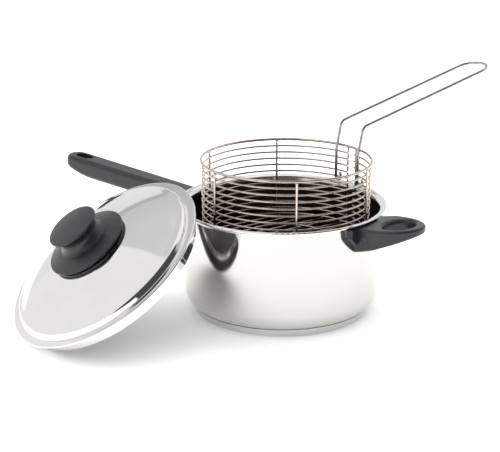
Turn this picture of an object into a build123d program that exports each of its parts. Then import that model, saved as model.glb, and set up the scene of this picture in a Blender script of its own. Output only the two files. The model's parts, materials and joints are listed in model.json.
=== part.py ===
from build123d import *
import os
from math import asin, cos, degrees, radians, sin, sqrt

# Stove-top deep fryer (chip pan): a stainless steel pan with a long handle and a helper handle,
# a domed lid leaning against its rim, and a wire frying basket held above it.
# Millimetres. Origin at the centre of the pan's underside, +Z up, the long handle along -X and
# the helper handle along +X.

# ---------------------------------------------------------------- driving dimensions
# pan
INNER_RADIUS = 100.0
WALL = 0.8
RIM_HEIGHT = 112.9
FLARE_RADIUS = 6.2
ROLL_RADIUS = 0.6
CORNER_RADIUS = 16.0
FLOOR_UNDERSIDE = 5.4
# base
BASE_RADIUS = 92.0
BASE_TOP_RADIUS = 94.5
BASE_EDGE_FILLET = 2.5
CAPSULE_WALL = 0.6
# phenolic handles, brackets and screws
SEAT_HEIGHT = 95.8
LONG_HANDLE_RISE = 5.7
LONG_HANDLE_REACH = 290.0
LONG_HANDLE_WIDTH = 27.0
LONG_HANDLE_NECK_WIDTH = 23.0
LONG_HANDLE_DEPTH = 20.5
HANG_SLOT_LENGTH = 22.0
HANG_SLOT_WIDTH = 13.0
HELPER_REACH = 162.0
HELPER_WIDTH = 62.0
HELPER_BASE_WIDTH = 44.0
FINGER_LENGTH = 39.0
FINGER_WIDTH = 30.0
SHIELD_TOP = 107.0
SHIELD_BOTTOM = 82.0
SHIELD_TOP_WIDTH = 62.0
SHIELD_BOTTOM_WIDTH = 34.0
SHIELD_THICKNESS = 5.0
SHIELD_STEP = 9.0
SHIELD_ROUNDING = 0.8
HANDLE_ROUNDING = 5.0
LONG_HANDLE_TIP_DEPTH = 10.8
LONG_HANDLE_UNDERCUT = 44.0
HANG_SLOT_FROM_END = 22.0
HELPER_CENTRE_X = 118.0
HELPER_TOP = 114.0
HELPER_ROUNDING = 2.6
FINGER_CENTRE_X = 136.0
FINGER_TOP_ROUNDING = 4.0
FINGER_BOTTOM_ROUNDING = 2.0
HELPER_FOOT = (96.0, 80.5)
HELPER_UNDERSIDE = (132.0, 94.0)
HELPER_TIP_BOTTOM = (163.0, 107.0)
HELPER_TIP_TOP = (163.0, 113.6)
HELPER_ROOT_TOP = (96.0, 108.3)
PLATE_WIDTH = 30.0
PLATE_HEIGHT = 18.0
LONG_TONGUE = 34.0
LONG_SCREW_X = 124.0
LONG_SCREW_HEAD = 88.5
HELPER_TONGUE = 15.0
HELPER_SCREW_X = 111.0
HELPER_SCREW_HEAD = 89.0
POCKET_GAP = 0.15
BRACKET_SHEET = 1.4
TONGUE_THICKNESS = 3.0
TONGUE_WIDTH = 14.0
HANDLE_GAP = 0.2
SCREW_RADIUS = 2.3
SCREW_HEAD_RADIUS = 4.4
SCREW_HEAD_DEPTH = 2.6
RECESS_LENGTH = 5.0
RECESS_WIDTH = 1.1
RECESS_DEPTH = 1.5
# lid, in its own frame: height above the top of the brim, along the dome's axis
LID_CENTRE = (-107.9, -157.5, 71.5)
LID_AXIS = (-0.2571, -0.5349, 0.8048)
LID_SHEET = 0.7
LID_RADIUS = 108.0
SKIRT_RADIUS = 99.4
SKIRT_DEPTH = 14.9
DOME_RADIUS = 222.0
DOME_EDGE = (91.0, 7.3)
SHOULDER = (97.6, 5.1)
SHOULDER_ROUNDING = 3.5
STEP_FOOT_RADIUS = 99.3
STEP_FOOT_ROUNDING = 1.5
HEM_RADIUS = 0.4
SKIRT_TURN = 1.9
SHELL_HOLE_RADIUS = 2.6
KNOB_SEAT_RADIUS = 12.0
KNOB_HOLLOW = 0.5
KNOB_FOOT = (39.4, 25.0)
KNOB_FOOT_TOP = (40.3, 26.6)
KNOB_BASE_LIP = (41.3, 26.9)
KNOB_BASE_EDGE = (42.1, 28.0)
KNOB_BASE_TOP = (41.0, 29.1)
KNOB_SHELF_END = (28.5, 33.2)
KNOB_WAIST = (20.3, 41.2)
KNOB_NECK_TOP = (25.0, 49.6)
KNOB_TOP_EDGE = (26.4, 51.3)
KNOB_TOP_CORNER = (25.2, 52.7)
KNOB_TOP = 54.8
INSERT_RADIUS = 5.0
INSERT_LENGTH = 11.0
WASHER_RADIUS = 7.5
WASHER_THICKNESS = 1.0
# basket
BASKET_AXIS = (2.8, 4.2)
BASKET_HANDLE_HEADING = 69.0
TOP_RING_HEIGHT = 156.9
TOP_RING_RADIUS = 87.3
TOP_RING_WIRE = 2.8
HOOP_RADIUS = 86.0
HOOP_WIRE = 1.9
HOOP_PITCH = 7.0
HOOP_COUNT = 11
BOTTOM_RING_WIRE = 2.4
UPRIGHT_WIRE = 2.3
WELD_BITE = 0.25
GAP_HALF_ANGLE = 4.25
HOOP_END_OVERHANG = 1.6
FLOOR_WIRE_PITCH = 12.0
FLOOR_WIRE_COUNT = 13
INNER_FLOOR_RING_RADIUS = 46.0
# folding wire handle of the basket
HANDLE_WIRE = 3.4
HANDLE_HALF_SPACING = 17.95
PIVOT_HOOP = 5
EYELET_RADIUS = 3.4
LEG_LEAN_START = 153.6
HANDLE_BEND = (86.9, 182.3)
GRIP_RISE = 13.7
GRIP_LENGTH = 174.0
LEAN_BEND_RADIUS = 12.0
GRIP_BEND_RADIUS = 7.0

# ---------------------------------------------------------------- worked-out dimensions
OUTER_RADIUS = INNER_RADIUS + WALL
CORNER_CENTRE_RADIUS = OUTER_RADIUS - CORNER_RADIUS
CORNER_CENTRE_HEIGHT = FLOOR_UNDERSIDE + CORNER_RADIUS
FLARE_START = RIM_HEIGHT - WALL - FLARE_RADIUS
BRACKET_OUTSIDE = OUTER_RADIUS + BRACKET_SHEET
WALL_CLEARANCE_RADIUS = OUTER_RADIUS + HANDLE_GAP
HOOP_HEIGHTS = [TOP_RING_HEIGHT - HOOP_PITCH * (i + 1) for i in range(HOOP_COUNT)]
BOTTOM_RING_HEIGHT = HOOP_HEIGHTS[-1] - HOOP_PITCH
UPRIGHT_RADIUS = HOOP_RADIUS + (HOOP_WIRE + UPRIGHT_WIRE) / 2 - WELD_BITE
FLOOR_WIRE_HEIGHT = BOTTOM_RING_HEIGHT - (BOTTOM_RING_WIRE + HOOP_WIRE) / 2 + WELD_BITE

os.makedirs("parts", exist_ok=True)


def keep(piece, name):
    """Label a finished piece and write it to its own file."""
    piece.part.label = name
    export_step(piece.part, f"parts/{name}.step")


# ---------------------------------------------------------------- pan body
with BuildPart() as pan_body:
    with BuildSketch(Plane.XZ):
        with BuildLine():
            floor = Line((0, FLOOR_UNDERSIDE), (CORNER_CENTRE_RADIUS, FLOOR_UNDERSIDE))
            corner = JernArc(start=floor @ 1, tangent=(1, 0), radius=CORNER_RADIUS, arc_size=90)
            wall = Line(corner @ 1, (OUTER_RADIUS, FLARE_START))
            flare = JernArc(start=wall @ 1, tangent=(0, 1), radius=FLARE_RADIUS, arc_size=-90)
            JernArc(start=flare @ 1, tangent=(1, 0), radius=ROLL_RADIUS, arc_size=-120)
            offset(amount=WALL, side=Side.LEFT)
        make_face()
    revolve(axis=Axis.Z)
keep(pan_body, "pan_body")


# ---------------------------------------------------------------- encapsulated base
def corner_angle(radius):
    """Angle round the pan's outer corner, from its lowest point, at a radius from the axis."""
    return degrees(asin((radius - CORNER_CENTRE_RADIUS) / CORNER_RADIUS))


def corner_height(radius):
    """Height of the pan's outer corner at a radius from the axis."""
    reach = radius - CORNER_CENTRE_RADIUS
    return CORNER_CENTRE_HEIGHT - sqrt(CORNER_RADIUS**2 - reach**2)


CORNER_CENTRE = (CORNER_CENTRE_RADIUS, CORNER_CENTRE_HEIGHT)
CAPSULE_TOP = (BASE_TOP_RADIUS, corner_height(BASE_TOP_RADIUS))
CORE_TOP = (BASE_TOP_RADIUS - CAPSULE_WALL, corner_height(BASE_TOP_RADIUS - CAPSULE_WALL))

with BuildPart() as base_core:
    with BuildSketch(Plane.XZ):
        with BuildLine():
            FilletPolyline(
                (0, CAPSULE_WALL),
                (BASE_RADIUS - CAPSULE_WALL, CAPSULE_WALL),
                CORE_TOP,
                radius=BASE_EDGE_FILLET - CAPSULE_WALL,
            )
            CenterArc(CORNER_CENTRE, CORNER_RADIUS, -90, corner_angle(CORE_TOP[0]))
            Polyline((CORNER_CENTRE_RADIUS, FLOOR_UNDERSIDE), (0, FLOOR_UNDERSIDE), (0, CAPSULE_WALL))
        make_face()
    revolve(axis=Axis.Z)
keep(base_core, "base_core")

with BuildPart() as base_capsule:
    with BuildSketch(Plane.XZ):
        with BuildLine():
            FilletPolyline((0, 0), (BASE_RADIUS, 0), CAPSULE_TOP, radius=BASE_EDGE_FILLET)
            CenterArc(
                CORNER_CENTRE,
                CORNER_RADIUS,
                corner_angle(CORE_TOP[0]) - 90,
                corner_angle(BASE_TOP_RADIUS) - corner_angle(CORE_TOP[0]),
            )
            FilletPolyline(
                CORE_TOP,
                (BASE_RADIUS - CAPSULE_WALL, CAPSULE_WALL),
                (0, CAPSULE_WALL),
                radius=BASE_EDGE_FILLET - CAPSULE_WALL,
            )
            Line((0, CAPSULE_WALL), (0, 0))
        make_face()
    revolve(axis=Axis.Z)
keep(base_capsule, "base_capsule")


# ---------------------------------------------------------------- phenolic handles
def wall_shield(side):
    """Shield that hugs the pan's wall where a handle meets it, on the +X or the -X side."""
    top = SHIELD_TOP_WIDTH / 2
    bottom = SHIELD_BOTTOM_WIDTH / 2
    with BuildPart() as shield:
        with BuildSketch(Plane.YZ.offset(side * BRACKET_OUTSIDE * 0.8)):
            with BuildLine():
                Polyline(
                    (-bottom, SHIELD_BOTTOM),
                    (bottom, SHIELD_BOTTOM),
                    (top, SHIELD_TOP - SHIELD_STEP),
                    (top, SHIELD_TOP),
                    (-top, SHIELD_TOP),
                    (-top, SHIELD_TOP - SHIELD_STEP),
                    close=True,
                )
            make_face()
        extrude(amount=side * BRACKET_OUTSIDE * 0.4)
        with Locations((0, 0, SEAT_HEIGHT)):
            Cylinder(WALL_CLEARANCE_RADIUS + SHIELD_THICKNESS, SEAT_HEIGHT, mode=Mode.INTERSECT)
        outer_edges = shield.edges().filter_by(lambda e: abs(e.center().X) > OUTER_RADIUS * 0.9)
        fillet(outer_edges, SHIELD_ROUNDING)
    return shield.part


def wall_clearance():
    """Space that a handle leaves for the pan's wall and for the flare of its rim."""
    with BuildPart() as clearance:
        Cylinder(WALL_CLEARANCE_RADIUS, 2 * RIM_HEIGHT)
        with Locations((0, 0, FLARE_START - HANDLE_GAP)):
            Cone(
                WALL_CLEARANCE_RADIUS,
                WALL_CLEARANCE_RADIUS + 2 * FLARE_RADIUS,
                2 * FLARE_RADIUS,
                align=(Align.CENTER, Align.CENTER, Align.MIN),
            )
    return clearance.part


def bracket(side, tongue_length, screw_x):
    """Steel bracket: a plate that follows the wall, and a tongue with a threaded hole."""
    with BuildPart() as steel:
        with Locations((0, 0, SEAT_HEIGHT)):
            Cylinder(BRACKET_OUTSIDE, PLATE_HEIGHT)
            Cylinder(OUTER_RADIUS, PLATE_HEIGHT, mode=Mode.SUBTRACT)
        with Locations((side * BRACKET_OUTSIDE, 0, SEAT_HEIGHT)):
            Box(BRACKET_OUTSIDE, PLATE_WIDTH, PLATE_HEIGHT, mode=Mode.INTERSECT)
        fillet(steel.edges().filter_by(Axis.X, tolerance=25).filter_by(GeomType.LINE), 4)
        with Locations((side * (BRACKET_OUTSIDE - BRACKET_SHEET / 2), 0, SEAT_HEIGHT)):
            Box(
                tongue_length,
                TONGUE_WIDTH,
                TONGUE_THICKNESS,
                align=(Align.MIN if side > 0 else Align.MAX, Align.CENTER, Align.CENTER),
            )
        with Locations((side * screw_x, 0, SEAT_HEIGHT)):
            Cylinder(SCREW_RADIUS, 3 * TONGUE_THICKNESS, mode=Mode.SUBTRACT)
    return steel.part


def bracket_pocket(side, tongue_length):
    """Space inside a handle for its bracket, a little larger than the bracket."""
    with BuildPart() as pocket:
        with Locations((0, 0, SEAT_HEIGHT)):
            Cylinder(BRACKET_OUTSIDE + POCKET_GAP, PLATE_HEIGHT)
        with Locations((side * BRACKET_OUTSIDE, 0, SEAT_HEIGHT)):
            Box(BRACKET_OUTSIDE, PLATE_WIDTH + 2 * POCKET_GAP, PLATE_HEIGHT, mode=Mode.INTERSECT)
        with Locations((side * (BRACKET_OUTSIDE - BRACKET_SHEET), 0, SEAT_HEIGHT)):
            Box(
                tongue_length + BRACKET_SHEET,
                TONGUE_WIDTH + 2 * POCKET_GAP,
                TONGUE_THICKNESS + 2 * POCKET_GAP,
                align=(Align.MIN if side > 0 else Align.MAX, Align.CENTER, Align.CENTER),
            )
    return pocket.part


def pan_head_screw(plane, shank_length):
    """Pan-head screw with a cross recess, its head standing on a plane and its shank above."""
    with BuildPart() as screw:
        with BuildSketch(plane):
            Circle(SCREW_HEAD_RADIUS)
        extrude(amount=SCREW_HEAD_DEPTH)
        fillet(screw.faces().sort_by_distance(plane.origin)[0].edges(), 1.2)
        with BuildSketch(plane.offset(SCREW_HEAD_DEPTH)):
            Circle(SCREW_RADIUS)
        extrude(amount=shank_length)
        with BuildSketch(plane):
            Rectangle(RECESS_LENGTH, RECESS_WIDTH)
            Rectangle(RECESS_WIDTH, RECESS_LENGTH)
        extrude(amount=RECESS_DEPTH, mode=Mode.SUBTRACT)
    return screw.part


def screw_well(side, screw_x, head_top):
    """Counterbore and clearance hole for a handle's screw, from below."""
    with BuildPart() as well:
        with Locations((side * screw_x, 0, head_top)):
            Cylinder(
                SCREW_HEAD_RADIUS + POCKET_GAP,
                BRACKET_OUTSIDE,
                align=(Align.CENTER, Align.CENTER, Align.MAX),
            )
        with Locations((side * screw_x, 0, SEAT_HEIGHT)):
            Cylinder(
                SCREW_RADIUS + POCKET_GAP,
                SEAT_HEIGHT,
                align=(Align.CENTER, Align.CENTER, Align.MAX),
            )
            Cylinder(
                SCREW_RADIUS + POCKET_GAP,
                TONGUE_THICKNESS,
                align=(Align.CENTER, Align.CENTER, Align.MIN),
            )
    return well.part


# The long handle is drawn on a plane that rises outwards from the pan, along -X.
long_plane = Plane(
    origin=(-OUTER_RADIUS, 0, SEAT_HEIGHT),
    x_dir=(-cos(radians(LONG_HANDLE_RISE)), 0, sin(radians(LONG_HANDLE_RISE))),
    z_dir=(sin(radians(LONG_HANDLE_RISE)), 0, cos(radians(LONG_HANDLE_RISE))),
)
LONG_LENGTH = (LONG_HANDLE_REACH - OUTER_RADIUS) / cos(radians(LONG_HANDLE_RISE))
END_HALF = LONG_HANDLE_WIDTH / 2
long_section = Plane(origin=long_plane.origin, x_dir=long_plane.x_dir, z_dir=-long_plane.y_dir)
UNDERCUT_START = (LONG_LENGTH - LONG_HANDLE_UNDERCUT, -LONG_HANDLE_DEPTH / 2)
UNDERCUT_RISE = LONG_HANDLE_DEPTH - LONG_HANDLE_TIP_DEPTH
UNDERCUT_RADIUS = (LONG_HANDLE_UNDERCUT**2 + UNDERCUT_RISE**2) / (2 * UNDERCUT_RISE)
UNDERCUT_ANGLE = degrees(asin(LONG_HANDLE_UNDERCUT / UNDERCUT_RADIUS))
with BuildPart() as long_handle:
    with BuildSketch(long_plane.offset(-LONG_HANDLE_DEPTH / 2)):
        with Locations((LONG_LENGTH - END_HALF, 0)):
            Circle(END_HALF)
        with Locations((-SHIELD_THICKNESS, 0)):
            Rectangle(SHIELD_THICKNESS, LONG_HANDLE_NECK_WIDTH)
        make_hull()
    extrude(amount=LONG_HANDLE_DEPTH)
    with BuildSketch(long_section.offset(-LONG_HANDLE_WIDTH)):
        with BuildLine():
            bottom = Line((-LONG_LENGTH, -LONG_HANDLE_DEPTH / 2), UNDERCUT_START)
            lift = JernArc(start=bottom @ 1, tangent=(1, 0), radius=UNDERCUT_RADIUS, arc_size=UNDERCUT_ANGLE)
            Polyline(
                lift @ 1,
                (LONG_LENGTH, LONG_HANDLE_DEPTH),
                (-LONG_LENGTH, LONG_HANDLE_DEPTH),
                bottom @ 0,
            )
        make_face()
    extrude(amount=2 * LONG_HANDLE_WIDTH, mode=Mode.INTERSECT)
    fillet(long_handle.edges().filter_by(lambda e: e.center().X < -OUTER_RADIUS), HANDLE_ROUNDING)
    with BuildSketch(long_plane.offset(-LONG_HANDLE_DEPTH)):
        with Locations((LONG_LENGTH - HANG_SLOT_FROM_END, 0)):
            SlotOverall(HANG_SLOT_LENGTH, HANG_SLOT_WIDTH)
    extrude(amount=2 * LONG_HANDLE_DEPTH, mode=Mode.SUBTRACT)
    add(wall_shield(-1))
    add(wall_clearance(), mode=Mode.SUBTRACT)
    add(bracket_pocket(-1, LONG_TONGUE), mode=Mode.SUBTRACT)
    add(screw_well(-1, LONG_SCREW_X, LONG_SCREW_HEAD + SCREW_HEAD_DEPTH), mode=Mode.SUBTRACT)
keep(long_handle, "long_handle")

with BuildPart() as helper_handle:
    with BuildSketch(Plane.XY.offset(SHIELD_BOTTOM - 1)):
        with BuildLine():
            paddle = EllipticalCenterArc(
                (HELPER_CENTRE_X, 0),
                HELPER_REACH - HELPER_CENTRE_X,
                HELPER_WIDTH / 2,
                start_angle=-90,
                arc_size=180,
            )
            Polyline(
                paddle @ 1,
                (OUTER_RADIUS - 3, HELPER_BASE_WIDTH / 2),
                (OUTER_RADIUS - 3, -HELPER_BASE_WIDTH / 2),
                paddle @ 0,
            )
        make_face()
    extrude(amount=HELPER_TOP + 5 - SHIELD_BOTTOM)
    with BuildSketch(Plane.XZ.offset(-HELPER_WIDTH)):
        with BuildLine():
            ThreePointArc(HELPER_FOOT, HELPER_UNDERSIDE, HELPER_TIP_BOTTOM)
            Polyline(HELPER_TIP_BOTTOM, HELPER_TIP_TOP, HELPER_ROOT_TOP, HELPER_FOOT)
        make_face()
    extrude(amount=2 * HELPER_WIDTH, mode=Mode.INTERSECT)
    fillet(helper_handle.edges().filter_by(lambda e: e.center().X > OUTER_RADIUS), HELPER_ROUNDING)
    with BuildSketch(Plane.XY.offset(SHIELD_BOTTOM)):
        with Locations((FINGER_CENTRE_X, 0)):
            Ellipse(FINGER_WIDTH / 2, FINGER_LENGTH / 2)
    extrude(amount=2 * FINGER_LENGTH, mode=Mode.SUBTRACT)
    rims = helper_handle.edges(Select.LAST).sort_by(Axis.Z)
    fillet(rims[-1], FINGER_TOP_ROUNDING)
    fillet(rims[0], FINGER_BOTTOM_ROUNDING)
    add(wall_shield(1))
    add(wall_clearance(), mode=Mode.SUBTRACT)
    add(bracket_pocket(1, HELPER_TONGUE), mode=Mode.SUBTRACT)
    add(screw_well(1, HELPER_SCREW_X, HELPER_SCREW_HEAD + SCREW_HEAD_DEPTH), mode=Mode.SUBTRACT)
keep(helper_handle, "helper_handle")

for name, side, tongue, screw_x in [
    ("long_handle_bracket", -1, LONG_TONGUE, LONG_SCREW_X),
    ("helper_handle_bracket", 1, HELPER_TONGUE, HELPER_SCREW_X),
]:
    with BuildPart() as handle_bracket:
        add(bracket(side, tongue, screw_x))
    keep(handle_bracket, name)

for name, screw_x, head in [
    ("long_handle_screw", -LONG_SCREW_X, LONG_SCREW_HEAD),
    ("helper_handle_screw", HELPER_SCREW_X, HELPER_SCREW_HEAD),
]:
    with BuildPart() as handle_screw:
        shank = SEAT_HEIGHT + TONGUE_THICKNESS / 2 - head - SCREW_HEAD_DEPTH
        add(pan_head_screw(Plane((screw_x, 0, head)), shank))
    keep(handle_screw, name)


# ---------------------------------------------------------------- lid
lid_plane = Plane(origin=LID_CENTRE, z_dir=LID_AXIS)
lid_section = Plane(origin=LID_CENTRE, x_dir=lid_plane.x_dir, z_dir=-lid_plane.y_dir)
lid_axis = Axis(LID_CENTRE, LID_AXIS)


def dome_height(radius):
    """Height of the dome's underside above the brim, at a radius from the lid's axis."""
    centre = DOME_EDGE[1] - sqrt(DOME_RADIUS**2 - DOME_EDGE[0] ** 2)
    return centre + sqrt(DOME_RADIUS**2 - radius**2)


KNOB_SEAT = dome_height(KNOB_SEAT_RADIUS) + LID_SHEET
SEAT_UNDERSIDE = KNOB_SEAT - LID_SHEET
BRIM_UNDERSIDE = -LID_SHEET / 2
BRIM_END = LID_RADIUS - LID_SHEET - HEM_RADIUS
SKIRT_INSIDE = SKIRT_RADIUS - LID_SHEET
CROWN_RISE = KNOB_TOP - KNOB_TOP_CORNER[1]
KNOB_CROWN_RADIUS = (KNOB_TOP_CORNER[0] ** 2 + CROWN_RISE**2) / (2 * CROWN_RISE)

with BuildPart() as lid_shell:
    with BuildSketch(lid_section):
        with BuildLine():
            seat = Line((SHELL_HOLE_RADIUS, SEAT_UNDERSIDE), (KNOB_SEAT_RADIUS, SEAT_UNDERSIDE))
            dome = RadiusArc(seat @ 1, DOME_EDGE, DOME_RADIUS)
            step = FilletPolyline(
                dome @ 1,
                SHOULDER,
                (STEP_FOOT_RADIUS, BRIM_UNDERSIDE),
                (BRIM_END, BRIM_UNDERSIDE),
                radius=[SHOULDER_ROUNDING, STEP_FOOT_ROUNDING],
            )
            hem = JernArc(start=step @ 1, tangent=(1, 0), radius=HEM_RADIUS, arc_size=-180)
            under = Line(hem @ 1, (SKIRT_INSIDE + SKIRT_TURN, BRIM_UNDERSIDE - 2 * HEM_RADIUS))
            turn = JernArc(start=under @ 1, tangent=(-1, 0), radius=SKIRT_TURN, arc_size=90)
            Line(turn @ 1, (SKIRT_INSIDE, -SKIRT_DEPTH))
            offset(amount=LID_SHEET, side=Side.LEFT)
        make_face()
    revolve(axis=lid_axis)
keep(lid_shell, "lid_shell")

with BuildPart() as lid_knob:
    with BuildSketch(lid_section):
        with BuildLine():
            base = Polyline(
                (KNOB_SEAT_RADIUS, KNOB_SEAT),
                (KNOB_SEAT_RADIUS, KNOB_SEAT + KNOB_HOLLOW),
                KNOB_FOOT,
                KNOB_FOOT_TOP,
                KNOB_BASE_LIP,
            )
            edge = ThreePointArc(base @ 1, KNOB_BASE_EDGE, KNOB_BASE_TOP)
            shelf = Line(edge @ 1, KNOB_SHELF_END)
            waist = ThreePointArc(shelf @ 1, KNOB_WAIST, KNOB_NECK_TOP)
            top_edge = ThreePointArc(waist @ 1, KNOB_TOP_EDGE, KNOB_TOP_CORNER)
            crown = RadiusArc(top_edge @ 1, (0, KNOB_TOP), -KNOB_CROWN_RADIUS)
            Polyline(crown @ 1, (0, KNOB_SEAT), base @ 0)
        make_face()
    revolve(axis=lid_axis)
    with BuildSketch(lid_plane.offset(KNOB_SEAT)):
        RegularPolygon(INSERT_RADIUS, 6)
    extrude(amount=INSERT_LENGTH, mode=Mode.SUBTRACT)
keep(lid_knob, "lid_knob")

with BuildPart() as knob_insert:
    with BuildSketch(lid_plane.offset(KNOB_SEAT)):
        RegularPolygon(INSERT_RADIUS, 6)
        Circle(SCREW_RADIUS, mode=Mode.SUBTRACT)
    extrude(amount=INSERT_LENGTH)
keep(knob_insert, "knob_insert")

with BuildPart() as knob_washer:
    with BuildSketch(lid_plane.offset(SEAT_UNDERSIDE - WASHER_THICKNESS)):
        Circle(WASHER_RADIUS)
        Circle(SHELL_HOLE_RADIUS, mode=Mode.SUBTRACT)
    extrude(amount=WASHER_THICKNESS)
keep(knob_washer, "knob_washer")

with BuildPart() as knob_screw:
    add(
        pan_head_screw(
            lid_plane.offset(SEAT_UNDERSIDE - WASHER_THICKNESS - SCREW_HEAD_DEPTH),
            WASHER_THICKNESS + LID_SHEET + INSERT_LENGTH * 0.8,
        )
    )
keep(knob_screw, "knob_screw")


# ---------------------------------------------------------------- wire basket
basket_axis = Axis((*BASKET_AXIS, 0), (0, 0, 1))


def basket_plane(heading):
    """Upright plane through the basket's axis, its local x pointing outwards along a heading."""
    turn = radians(heading)
    return Plane(
        origin=(*BASKET_AXIS, 0),
        x_dir=(cos(turn), sin(turn), 0),
        z_dir=(sin(turn), -cos(turn), 0),
    )


def ring(radius, height, wire, start=0.0, arc=360.0):
    """Round wire bent into a ring, or part of one, about the basket's axis."""
    with BuildPart() as hoop:
        with BuildSketch(basket_plane(start)):
            with Locations((radius, height)):
                Circle(wire / 2)
        revolve(axis=basket_axis, revolution_arc=arc)
    return hoop.part


with BuildPart() as top_ring:
    add(ring(TOP_RING_RADIUS, TOP_RING_HEIGHT, TOP_RING_WIRE))
keep(top_ring, "basket_top_ring")

with BuildPart() as bottom_ring:
    add(ring(HOOP_RADIUS, BOTTOM_RING_HEIGHT, BOTTOM_RING_WIRE))
keep(bottom_ring, "basket_bottom_ring")

with BuildPart() as floor_ring:
    add(ring(INNER_FLOOR_RING_RADIUS, FLOOR_WIRE_HEIGHT + HOOP_WIRE - WELD_BITE, HOOP_WIRE))
keep(floor_ring, "basket_floor_ring")

HOOP_END_ANGLE = GAP_HALF_ANGLE - degrees(HOOP_END_OVERHANG / HOOP_RADIUS)
for number, height in enumerate(HOOP_HEIGHTS, start=1):
    with BuildPart() as hoop:
        start = BASKET_HANDLE_HEADING + HOOP_END_ANGLE
        add(ring(HOOP_RADIUS, height, HOOP_WIRE, start, 360 - 2 * HOOP_END_ANGLE))
    keep(hoop, f"basket_hoop_{number:02d}")

UPRIGHT_FOOT = BOTTOM_RING_HEIGHT - BOTTOM_RING_WIRE / 2
UPRIGHT_HEAD = TOP_RING_HEIGHT - TOP_RING_WIRE / 2 + WELD_BITE
for number, turn in enumerate([-GAP_HALF_ANGLE, GAP_HALF_ANGLE, 60, 120, 180, 240, 300], start=1):
    with BuildPart() as upright:
        heading = radians(BASKET_HANDLE_HEADING + turn)
        with BuildSketch(Plane.XY.offset(UPRIGHT_FOOT)):
            with Locations(
                (
                    BASKET_AXIS[0] + UPRIGHT_RADIUS * cos(heading),
                    BASKET_AXIS[1] + UPRIGHT_RADIUS * sin(heading),
                )
            ):
                Circle(UPRIGHT_WIRE / 2)
        extrude(amount=UPRIGHT_HEAD - UPRIGHT_FOOT)
    keep(upright, f"basket_upright_{number:02d}")

for number in range(FLOOR_WIRE_COUNT):
    aside = FLOOR_WIRE_PITCH * (number - (FLOOR_WIRE_COUNT - 1) / 2)
    half_length = sqrt((HOOP_RADIUS - WELD_BITE) ** 2 - aside**2)
    across = basket_plane(BASKET_HANDLE_HEADING - 90)
    with BuildPart() as floor_wire:
        with BuildSketch(across):
            with Locations((aside, FLOOR_WIRE_HEIGHT)):
                Circle(HOOP_WIRE / 2)
        extrude(amount=half_length, both=True)
    keep(floor_wire, f"basket_floor_wire_{number + 1:02d}")


# ---------------------------------------------------------------- folding wire handle
def handle_point(out, height, side):
    """Point beside the basket handle's centre plane: distance out, height and distance aside."""
    turn = radians(BASKET_HANDLE_HEADING)
    return (
        BASKET_AXIS[0] + out * cos(turn) - side * sin(turn),
        BASKET_AXIS[1] + out * sin(turn) + side * cos(turn),
        height,
    )


PIVOT_OUT = sqrt(HOOP_RADIUS**2 - HANDLE_HALF_SPACING**2)
PIVOT_HEIGHT = HOOP_HEIGHTS[PIVOT_HOOP - 1]
GRIP_DIRECTION = (cos(radians(GRIP_RISE)), sin(radians(GRIP_RISE)))
GRIP_END = tuple(HANDLE_BEND[i] + GRIP_LENGTH * GRIP_DIRECTION[i] for i in range(2))
LOOP_TIP = tuple(GRIP_END[i] + HANDLE_HALF_SPACING * GRIP_DIRECTION[i] for i in range(2))


def eyelet_point(angle, side):
    """Point on the curl of a leg round its hoop, at an angle up from straight out."""
    return handle_point(
        PIVOT_OUT + EYELET_RADIUS * cos(radians(angle)),
        PIVOT_HEIGHT + EYELET_RADIUS * sin(radians(angle)),
        side,
    )


with BuildPart() as basket_handle:
    with BuildLine() as handle_path:
        for side in (HANDLE_HALF_SPACING, -HANDLE_HALF_SPACING):
            ThreePointArc(eyelet_point(60, side), eyelet_point(-60, side), eyelet_point(-180, side))
            FilletPolyline(
                eyelet_point(-180, side),
                handle_point(PIVOT_OUT - EYELET_RADIUS, LEG_LEAN_START, side),
                handle_point(*HANDLE_BEND, side),
                handle_point(*GRIP_END, side),
                radius=[LEAN_BEND_RADIUS, GRIP_BEND_RADIUS],
            )
        ThreePointArc(
            handle_point(*GRIP_END, HANDLE_HALF_SPACING),
            handle_point(*LOOP_TIP, 0),
            handle_point(*GRIP_END, -HANDLE_HALF_SPACING),
        )
    path = handle_path.wires()[0]
    with BuildSketch(Plane(origin=path @ 0, z_dir=path % 0)):
        Circle(HANDLE_WIRE / 2)
    sweep(path=path)
keep(basket_handle, "basket_handle")
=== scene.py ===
import json
from math import acos, atan2, cos, radians, sin

import bmesh
import bpy
from mathutils import Matrix, Vector, noise as lattice


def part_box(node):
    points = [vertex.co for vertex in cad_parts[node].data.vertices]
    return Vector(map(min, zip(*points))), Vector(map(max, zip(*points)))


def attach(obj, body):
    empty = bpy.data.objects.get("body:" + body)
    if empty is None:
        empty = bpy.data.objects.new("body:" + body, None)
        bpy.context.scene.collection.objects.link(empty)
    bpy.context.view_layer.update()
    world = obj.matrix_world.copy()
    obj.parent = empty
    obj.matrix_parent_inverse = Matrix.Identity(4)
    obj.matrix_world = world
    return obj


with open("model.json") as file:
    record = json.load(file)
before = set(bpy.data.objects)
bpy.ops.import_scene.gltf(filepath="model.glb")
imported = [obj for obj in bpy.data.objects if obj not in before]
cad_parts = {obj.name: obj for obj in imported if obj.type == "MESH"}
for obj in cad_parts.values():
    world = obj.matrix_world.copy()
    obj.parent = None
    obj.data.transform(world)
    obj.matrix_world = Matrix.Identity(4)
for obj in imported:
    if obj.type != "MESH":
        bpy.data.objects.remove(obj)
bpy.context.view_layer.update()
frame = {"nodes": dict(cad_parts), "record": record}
record = frame["record"]
MM = 0.001

# ------------------------------------------------------------------ sizes of the CAD model, in metres
# The pan, by radius about its axis and height above its base
RIM_START = 0.1068
CORNER_CENTRE_RADIUS = 0.0848
CORNER_CENTRE_HEIGHT = 0.0214
CORNER_MIDDLE_OF_SHEET = 0.0156
SEAM_HEIGHT = 0.0088
SEAM_HALF_HEIGHT = 0.0007

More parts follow.
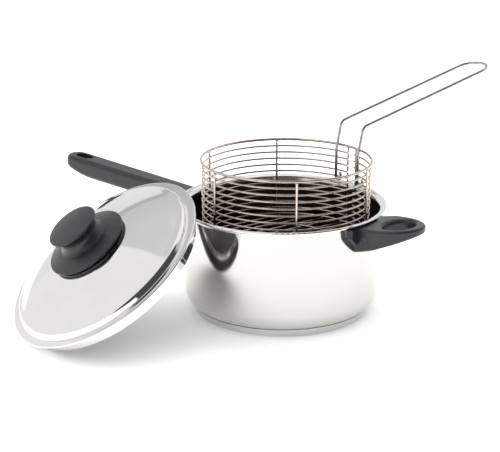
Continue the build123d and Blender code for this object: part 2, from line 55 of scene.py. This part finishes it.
# The lid, by radius about its dome's axis and height above its brim
LID_CENTRE = Vector((-107.9, -157.5, 71.5)) * MM
LID_AXIS = Vector((-0.2571, -0.5349, 0.8048)).normalized()
DOME_CENTRE_DEPTH = 0.19519
DOME_MIDDLE_OF_SHEET = 0.22235
DOME_EDGE_RADIUS = 0.0982
SKIRT_MIDDLE_OF_SHEET = 0.09905
SKIRT_TOP = -0.001

# The basket
FLOOR_WIRE_PITCH = 12.0 * MM
FLOOR_WIRES_HEADING = radians(-21)
FLOOR_WELD_RADIUS = 85.2 * MM
INTO_CROSSING = 1.0 * MM


# ------------------------------------------------------------------ shader helpers
# In these, n and links are the nodes and links of the node tree that is being built.
ANGLE_SQUEEZE = 0.01  # metres a radian, which makes the polishing lines run round the axis


def new_material(name):
    """Node material with nothing but a Principled shader: (material, n, links, shader)."""
    material = bpy.data.materials.new(name)
    material.use_nodes = True
    tree = material.node_tree
    tree.nodes.clear()
    shader = tree.nodes.new("ShaderNodeBsdfPrincipled")
    output = tree.nodes.new("ShaderNodeOutputMaterial")
    tree.links.new(shader.outputs["BSDF"], output.inputs["Surface"])
    return material, tree.nodes, tree.links, shader


def noise(n, links, coordinates, scale, detail, roughness, stretch=(1, 1, 1)):
    """Noise on coordinates, in cycles per metre, squeezed along the axes by stretch."""
    mapping = n.new("ShaderNodeMapping")
    mapping.inputs["Scale"].default_value = stretch
    links.new(coordinates, mapping.inputs["Vector"])
    texture = n.new("ShaderNodeTexNoise")
    texture.inputs["Scale"].default_value = scale
    texture.inputs["Detail"].default_value = detail
    texture.inputs["Roughness"].default_value = roughness
    links.new(mapping.outputs["Vector"], texture.inputs["Vector"])
    return texture.outputs["Fac"]


def ramp(n, links, value, stops):
    """Colour ramp through (position, colour or grey) stops."""
    node = n.new("ShaderNodeValToRGB")
    elements = node.color_ramp.elements
    while len(elements) < len(stops):
        elements.new(0.5)
    for element, (position, colour) in zip(elements, stops):
        element.position = position
        grey = isinstance(colour, (int, float))
        element.color = (colour, colour, colour, 1) if grey else (*colour, 1)
    links.new(value, node.inputs["Fac"])
    return node.outputs["Color"]


def map_range(n, links, value, low, high):
    """Stretches a 0 to 1 value to a range."""
    node = n.new("ShaderNodeMapRange")
    node.inputs["To Min"].default_value = low
    node.inputs["To Max"].default_value = high
    links.new(value, node.inputs["Value"])
    return node.outputs["Result"]


def math_node(n, links, operation, first, second=0.0):
    """One sum on numbers or sockets."""
    node = n.new("ShaderNodeMath")
    node.operation = operation
    for socket, value in zip(node.inputs, (first, second)):
        if isinstance(value, (int, float)):
            socket.default_value = value
        else:
            links.new(value, socket)
    return node.outputs["Value"]


def hypotenuse(n, links, first, second):
    """Length of a vector from two parts of it at right angles."""
    squares = [math_node(n, links, "MULTIPLY", part, part) for part in (first, second)]
    return math_node(n, links, "SQRT", math_node(n, links, "ADD", *squares))


def bump(n, links, height, shader, strength, distance):
    """Fine relief on a shader's surface."""
    node = n.new("ShaderNodeBump")
    node.inputs["Strength"].default_value = strength
    node.inputs["Distance"].default_value = distance
    links.new(height, node.inputs["Height"])
    links.new(node.outputs["Normal"], shader.inputs["Normal"])


def blend(n, links, mask, below, above):
    """Colour that goes from one colour to another through a mask."""
    mix = n.new("ShaderNodeMix")
    mix.data_type = "RGBA"
    links.new(mask, mix.inputs["Factor"])
    for socket, colour in zip((mix.inputs[6], mix.inputs[7]), (below, above)):
        if isinstance(colour, tuple):
            socket.default_value = (*colour, 1)
        else:
            links.new(colour, socket)
    return mix.outputs[2]


def turned_coordinates(n, links, origin, axis):
    """Coordinates about an axis: (object coordinates, vector for polishing lines, radius, height)."""
    place = n.new("ShaderNodeTexCoord").outputs["Object"]
    turn = Vector(axis).rotation_difference(Vector((0, 0, 1))).to_euler()
    mapping = n.new("ShaderNodeMapping")
    mapping.vector_type = "POINT"
    mapping.inputs["Rotation"].default_value = turn
    offset = Vector(origin)
    offset.rotate(turn)
    mapping.inputs["Location"].default_value = -offset
    links.new(place, mapping.inputs["Vector"])
    split = n.new("ShaderNodeSeparateXYZ")
    links.new(mapping.outputs["Vector"], split.inputs["Vector"])
    x, y, height = split.outputs
    radius = hypotenuse(n, links, x, y)
    angle = math_node(n, links, "ARCTAN2", y, x)
    joined = n.new("ShaderNodeCombineXYZ")
    links.new(radius, joined.inputs["X"])
    links.new(math_node(n, links, "MULTIPLY", angle, ANGLE_SQUEEZE), joined.inputs["Y"])
    links.new(height, joined.inputs["Z"])
    return place, joined.outputs["Vector"], radius, height


# ------------------------------------------------------------------ masks of the painted light and shade on the steel
def pan_wall(n, links, radius, height):
    """1 on the pan below its flared rim, 0 on the rim: the mask of the painted shade that makes the wall
    darker than the rim.
    """
    return math_node(n, links, "LESS_THAN", height, RIM_START)


def pan_inside(n, links, radius, height):
    """1 on the inside of the pan's wall, corner and floor, 0 outside: the mask of the painted shade in the
    pan's hollow.
    """
    out = math_node(n, links, "SUBTRACT", radius, CORNER_CENTRE_RADIUS)
    up = math_node(n, links, "SUBTRACT", height, CORNER_CENTRE_HEIGHT)
    out = math_node(n, links, "MAXIMUM", out)
    down = math_node(n, links, "MINIMUM", up)
    return math_node(n, links, "LESS_THAN", hypotenuse(n, links, out, down), CORNER_MIDDLE_OF_SHEET)


def lid_inside(n, links, radius, height):
    """1 on the underside of the dome and on the inside of the skirt, 0 outside: the mask of the painted
    shade under the lid.
    """
    from_centre = hypotenuse(n, links, radius, math_node(n, links, "ADD", height, DOME_CENTRE_DEPTH))
    under = math_node(n, links, "LESS_THAN", from_centre, DOME_MIDDLE_OF_SHEET)
    within = math_node(n, links, "LESS_THAN", radius, DOME_EDGE_RADIUS)
    under = math_node(n, links, "MULTIPLY", under, within)
    skirt = math_node(n, links, "LESS_THAN", radius, SKIRT_MIDDLE_OF_SHEET)
    skirt = math_node(n, links, "MULTIPLY", skirt, math_node(n, links, "LESS_THAN", height, SKIRT_TOP))
    return math_node(n, links, "MAXIMUM", under, skirt)


def seam_and_painted_shade(n, links, radius, height):
    """1 in the seam where the base's capsule is pressed on to the pan's corner: a dark joint line,
    darkened further as painted shade in the crease.
    """
    away = math_node(n, links, "ABSOLUTE", math_node(n, links, "SUBTRACT", height, SEAM_HEIGHT))
    return math_node(n, links, "LESS_THAN", away, SEAM_HALF_HEIGHT)


# ------------------------------------------------------------------ materials
def polished_steel(name, tint, roughness, painted_light_zones, origin=(0, 0, 0), axis=(0, 0, 1)):
    """Mirror-polished steel with turning lines and smudges, and (where, tint, dulling) zones of painted
    light and shade, each with its own tint and extra roughness.
    """
    material, n, links, shader = new_material(name)
    place, turned, radius, height = turned_coordinates(n, links, origin, axis)
    fine = noise(n, links, turned, scale=900, detail=3, roughness=0.6, stretch=(1, 2, 1))
    cloud = noise(n, links, place, scale=26, detail=4, roughness=0.6)
    shader.inputs["Metallic"].default_value = 1.0
    smudged = tuple(part * 0.965 for part in tint)
    colour = ramp(n, links, cloud, [(0.35, smudged), (0.65, tint)])
    smudges = map_range(n, links, cloud, roughness - 0.015, roughness + 0.015)
    rough = math_node(n, links, "ADD", smudges, map_range(n, links, fine, -0.01, 0.01))
    # Each zone's tint is painted light or shade laid over the steel's own colour; its dulling adds
    # roughness.
    for where, painted_tint, dulling in painted_light_zones:
        mask = where(n, links, radius, height)
        colour = blend(n, links, mask, colour, painted_tint)
        rough = math_node(n, links, "ADD", rough, math_node(n, links, "MULTIPLY", mask, dulling))
    links.new(colour, shader.inputs["Base Color"])
    links.new(rough, shader.inputs["Roughness"])
    bump(n, links, fine, shader, strength=0.05, distance=0.02 * MM)
    return material


def moulded_phenolic(name):
    """Moulded phenolic: dark grey, satin, with a fine moulded grain and lighter rubbed patches."""
    material, n, links, shader = new_material(name)
    place = n.new("ShaderNodeTexCoord").outputs["Object"]
    cloud = noise(n, links, place, scale=60, detail=5, roughness=0.6)
    grain = noise(n, links, place, scale=2600, detail=3, roughness=0.7)
    dark, rubbed = (0.0125, 0.013, 0.015), (0.019, 0.0195, 0.0225)
    links.new(ramp(n, links, cloud, [(0.3, dark), (0.7, rubbed)]), shader.inputs["Base Color"])
    links.new(map_range(n, links, cloud, 0.29, 0.40), shader.inputs["Roughness"])
    bump(n, links, grain, shader, strength=0.12, distance=0.1 * MM)
    return material


def plated_wire(name, tint, roughness):
    """Plated wire: slightly uneven, browner and duller where the plating is thin."""
    material, n, links, shader = new_material(name)
    place = n.new("ShaderNodeTexCoord").outputs["Object"]
    cloud = noise(n, links, place, scale=140, detail=4, roughness=0.6)
    fine = noise(n, links, place, scale=1900, detail=3, roughness=0.6)
    shader.inputs["Metallic"].default_value = 1.0
    dull = (tint[0] * 0.80, tint[1] * 0.75, tint[2] * 0.70)
    links.new(ramp(n, links, cloud, [(0.32, dull), (0.6, tint)]), shader.inputs["Base Color"])
    links.new(map_range(n, links, cloud, roughness + 0.10, roughness - 0.04), shader.inputs["Roughness"])
    bump(n, links, fine, shader, strength=0.10, distance=0.05 * MM)
    return material


def plain_metal(name, tint, roughness, grain):
    """Pressed or turned metal: a fine grain and a little tarnish."""
    material, n, links, shader = new_material(name)
    place = n.new("ShaderNodeTexCoord").outputs["Object"]
    cloud = noise(n, links, place, scale=90, detail=4, roughness=0.6)
    fine = noise(n, links, place, scale=grain, detail=3, roughness=0.6, stretch=(1, 1, 8))
    shader.inputs["Metallic"].default_value = 1.0
    tarnish = tuple(part * 0.82 for part in tint)
    links.new(ramp(n, links, cloud, [(0.3, tarnish), (0.65, tint)]), shader.inputs["Base Color"])
    links.new(map_range(n, links, fine, roughness - 0.06, roughness + 0.08), shader.inputs["Roughness"])
    bump(n, links, fine, shader, strength=0.15, distance=0.05 * MM)
    return material


SHARPEST_SMOOTH_ANGLE = radians(32)
pan_painted_light_and_shade = [
    # Painted highlight and shade: the rim keeps the pan steel's lighter tint, and the wall below it is
    # painted darker.
    (pan_wall, (0.62, 0.613, 0.595), 0.01),
    # Painted shade: the inside of the pan is painted near black, as shade in its hollow.
    (pan_inside, (0.085, 0.08, 0.076), 0.22),
]
# The seam's dark joint line, darkened to near black as painted shade in the crease between capsule and
# pan.
capsule_seam_and_painted_shade = [(seam_and_painted_shade, (0.08, 0.08, 0.08), 0.2)]
# Painted shade: the underside of the lid is painted dark, as shade under it.
lid_painted_shade = [(lid_inside, (0.24, 0.235, 0.23), 0.22)]
by_slot = {
    "pan_steel": polished_steel("pan_steel", (0.86, 0.86, 0.87), 0.07, pan_painted_light_and_shade),
    "capsule_steel": polished_steel("capsule_steel", (0.66, 0.66, 0.655), 0.12, capsule_seam_and_painted_shade),
    "lid_steel": polished_steel("lid_steel", (0.88, 0.87, 0.87), 0.06, lid_painted_shade, LID_CENTRE, LID_AXIS),
    "phenolic": moulded_phenolic("phenolic"),
    "basket_wire": plated_wire("basket_wire", (0.66, 0.58, 0.52), 0.12),
    "handle_wire": plated_wire("handle_wire", (0.50, 0.49, 0.485), 0.07),
    "bracket_steel": plain_metal("bracket_steel", (0.60, 0.60, 0.60), 0.38, 700),
    "screw_steel": plain_metal("screw_steel", (0.66, 0.66, 0.67), 0.26, 900),
    "insert_brass": plain_metal("insert_brass", (0.78, 0.58, 0.26), 0.28, 900),
    "core_aluminium": plain_metal("core_aluminium", (0.75, 0.75, 0.76), 0.40, 500),
}
for part in record["subparts"]:
    mesh = frame["nodes"][part["node"]].data
    mesh.materials.clear()
    mesh.materials.append(by_slot[part["material_slot"]])
    for polygon in mesh.polygons:
        polygon.use_smooth = True
    mesh.set_sharp_from_angle(angle=SHARPEST_SMOOTH_ANGLE)


# ------------------------------------------------------------------ weld beads of the basket
# Sizes of a bead, out from the basket's axis, round it and up, in mm
BEAD_ON_HOOP = (0.80, 1.65, 1.15)
BEAD_ON_BOTTOM_RING = (0.95, 1.80, 1.10)
BEAD_UNDER_TOP_RING = (1.30, 1.70, 0.90)
BEAD_ON_FLOOR_WIRE = (1.30, 1.20, 0.70)
BEAD_UNEVENNESS = 0.16
LUMPS_TO_A_BEAD = 1.3


def nodes_named(start):
    """CAD nodes whose names start so, in order."""
    return sorted(part["node"] for part in record["subparts"] if part["node"].startswith(start))


def middle(name):
    """Middle of a CAD node's box."""
    low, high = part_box(name)
    return (Vector(low) + Vector(high)) / 2


def bead(shape, spot, size):
    """Small uneven bead of weld at a spot on the basket."""
    out = spot - basket_middle
    turn = Matrix.Rotation(atan2(out.y, out.x), 4, "Z")
    place = Matrix.Translation(spot) @ turn
    for vert in bmesh.ops.create_icosphere(shape, subdivisions=3, radius=1.0)["verts"]:
        swell = 1 + BEAD_UNEVENNESS * lattice.noise(vert.co * LUMPS_TO_A_BEAD + spot / MM)
        vert.co = place @ Vector(part * reach * swell * MM for part, reach in zip(vert.co, size))


basket_middle = middle("basket_bottom_ring")
hoop_heights = [middle(name).z for name in nodes_named("basket_hoop_")]
top_ring_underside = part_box("basket_top_ring")[0][2]
beads = bmesh.new()
for name in nodes_named("basket_upright_"):
    upright = middle(name)
    out = Vector((upright.x - basket_middle.x, upright.y - basket_middle.y, 0)).normalized()
    crossing = upright - out * INTO_CROSSING
    for height in hoop_heights:
        bead(beads, Vector((crossing.x, crossing.y, height)), BEAD_ON_HOOP)
    bead(beads, Vector((crossing.x, crossing.y, basket_middle.z)), BEAD_ON_BOTTOM_RING)
    bead(beads, Vector((upright.x, upright.y, top_ring_underside)), BEAD_UNDER_TOP_RING)

floor_wires = nodes_named("basket_floor_wire_")
for number, name in enumerate(floor_wires):
    aside = (number - (len(floor_wires) - 1) / 2) * FLOOR_WIRE_PITCH
    for end in (1, -1):
        heading = FLOOR_WIRES_HEADING + end * acos(aside / FLOOR_WELD_RADIUS)
        spot = basket_middle + Vector((cos(heading), sin(heading), 0)) * FLOOR_WELD_RADIUS
        spot.z = (middle(name).z + basket_middle.z) / 2
        bead(beads, spot, BEAD_ON_FLOOR_WIRE)

beads_mesh = bpy.data.meshes.new("basket_weld_beads")
beads.to_mesh(beads_mesh)
beads.free()
for polygon in beads_mesh.polygons:
    polygon.use_smooth = True
beads_mesh.materials.append(by_slot["basket_wire"])
weld_beads = bpy.data.objects.new("basket_weld_beads", beads_mesh)
bpy.context.scene.collection.objects.link(weld_beads)
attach(weld_beads, "basket")

# ------------------------------------------------------------------ floor
HALF = 6.0
floor_mesh = bpy.data.meshes.new("floor")
corners = [(-HALF, -HALF, 0), (HALF, -HALF, 0), (HALF, HALF, 0), (-HALF, HALF, 0)]
floor_mesh.from_pydata(corners, [], [(0, 1, 2, 3)])
floor = bpy.data.objects.new("floor", floor_mesh)
bpy.context.scene.collection.objects.link(floor)
floor_material, _, _, shader = new_material("floor")
shader.inputs["Base Color"].default_value = (0.93, 0.93, 0.93, 1)
shader.inputs["Emission Color"].default_value = (1.0, 1.0, 1.0, 1)
shader.inputs["Emission Strength"].default_value = 0.2
shader.inputs["Roughness"].default_value = 0.9
shader.inputs["Specular IOR Level"].default_value = 0.1
floor_mesh.materials.append(floor_material)

# ------------------------------------------------------------------ studio round the object
# Directions of the soft boxes and the dark side, seen from the object
LEFT_BOX = (-0.238, -0.953, -0.185)
BACK_BOX = (0.10, 0.62, 1.05)
DARK_SIDE = (0.778, -0.380, 0.5)
# Greys of the backdrop, by the height of the direction
BACKDROP = [(0.0, 0.86), (0.42, 0.84), (0.44, 0.5), (0.49, 0.5), (0.51, 0.62), (0.9, 0.70), (1.0, 0.85)]

world = bpy.data.worlds.new("studio")
bpy.context.scene.world = world
world.use_nodes = True
n, links = world.node_tree.nodes, world.node_tree.links
n.clear()
direction = n.new("ShaderNodeTexCoord").outputs["Generated"]


def facing(towards, low, high):
    """0 to 1 as the cosine of the angle to a direction goes from low to high."""
    dot = n.new("ShaderNodeVectorMath")
    dot.operation = "DOT_PRODUCT"
    links.new(direction, dot.inputs[0])
    dot.inputs[1].default_value = Vector(towards).normalized()
    spread = n.new("ShaderNodeMapRange")
    spread.interpolation_type = "SMOOTHSTEP"
    spread.inputs["From Min"].default_value = low
    spread.inputs["From Max"].default_value = high
    links.new(dot.outputs["Value"], spread.inputs["Value"])
    return spread.outputs["Result"]


split = n.new("ShaderNodeSeparateXYZ")
links.new(direction, split.inputs["Vector"])
sky = ramp(n, links, split.outputs["Z"], BACKDROP)
sky = blend(n, links, facing(BACK_BOX, low=0.80, high=0.90), sky, (1.0, 0.99, 0.98))
sky = blend(n, links, facing(LEFT_BOX, low=-0.01, high=0.01), sky, (0.92, 0.91, 0.90))
sky = blend(n, links, facing(DARK_SIDE, low=0.60, high=0.70), sky, (0.07, 0.07, 0.075))
background = n.new("ShaderNodeBackground")
links.new(sky, background.inputs["Color"])
world_output = n.new("ShaderNodeOutputWorld")
links.new(background.outputs["Background"], world_output.inputs["Surface"])

# ------------------------------------------------------------------ light and camera
sun = bpy.data.lights.new("overhead", "SUN")
sun.energy = 3.2
sun.angle = radians(150)
sun_lamp = bpy.data.objects.new("overhead", sun)
sun_lamp.rotation_euler = (radians(12), radians(-20), 0)
sun_lamp.visible_glossy = False
bpy.context.scene.collection.objects.link(sun_lamp)

camera_data = bpy.data.cameras.new("camera")
camera_data.lens = 87.7
camera_data.sensor_width = 36
camera = bpy.data.objects.new("camera", camera_data)
camera.location = (0.647, -1.017, 0.469)
camera.rotation_euler = (radians(72.36), 0, radians(34))
bpy.context.scene.collection.objects.link(camera)
bpy.context.scene.camera = camera
bpy.context.scene.view_settings.view_transform = "Standard"
